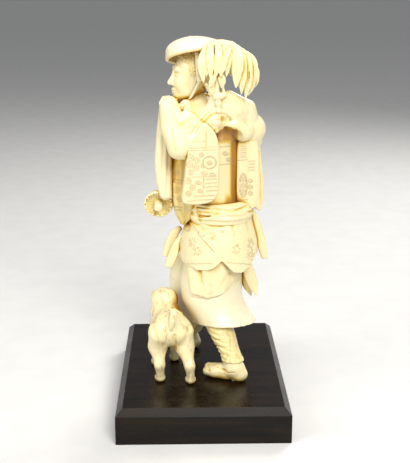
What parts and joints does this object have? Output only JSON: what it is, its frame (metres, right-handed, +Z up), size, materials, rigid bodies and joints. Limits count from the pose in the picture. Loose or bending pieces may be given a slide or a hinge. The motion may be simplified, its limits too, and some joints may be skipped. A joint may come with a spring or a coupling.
{
  "type": "okimono carving",
  "caption": "Ornamental carving of a walking figure in a shallow hat, a leafy branch over one shoulder and a small dog beside it, pinned on a low bevelled wooden stand.",
  "frame": {"origin": "bottom centre of the stand", "axes": "+Z up, X along the stand's long side, -Y the way that the figure looks and walks, +X the side of the figure's back and left heel"},
  "size_m": [0.1, 0.072, 0.1609],
  "materials": {
    "stand_wood": "polished dark lacquer",
    "carved_ivory": "polished warm cream with amber in the recesses"
  },
  "bodies": {
    "stand": {"plinth": "stand_wood"},
    "figure": {"left_foot": "carved_ivory", "right_foot": "carved_ivory", "figure_pegs": "carved_ivory", "left_gaiter": "carved_ivory", "right_gaiter": "carved_ivory", "under_robe": "carved_ivory", "inner_skirt": "carved_ivory", "over_robe": "carved_ivory", "obi": "carved_ivory", "torso": "carved_ivory", "robe_bundle": "carved_ivory", "head": "carved_ivory", "hair": "carved_ivory", "neckband": "carved_ivory", "hat": "carved_ivory", "hat_cord": "carved_ivory", "left_arm": "carved_ivory", "right_arm": "carved_ivory", "left_hand": "carved_ivory", "right_hand": "carved_ivory", "left_sleeve": "carved_ivory", "right_sleeve": "carved_ivory", "right_sleeve_lining": "carved_ivory", "front_drape": "carved_ivory", "robe_front": "carved_ivory", "knee_fold": "carved_ivory", "ornament_cup": "carved_ivory", "ornament_rod": "carved_ivory", "branch": "carved_ivory", "front_spray": "carved_ivory", "back_spray": "carved_ivory", "left_sash_ends": "carved_ivory", "right_sash_ends": "carved_ivory", "knot_ends": "carved_ivory"},
    "dog": {"dog_body": "carved_ivory", "dog_pegs": "carved_ivory", "dog_tail": "carved_ivory", "dog_head": "carved_ivory"}
  },
  "joints": [
    {"name": "figure_lift", "type": "slide", "parent": "stand", "child": "figure", "axis": [0, 0, 1], "range_m": [0, 0.005]},
    {"name": "dog_lift", "type": "slide", "parent": "stand", "child": "dog", "axis": [0, 0, 1], "range_m": [0, 0.005]}
  ]
}
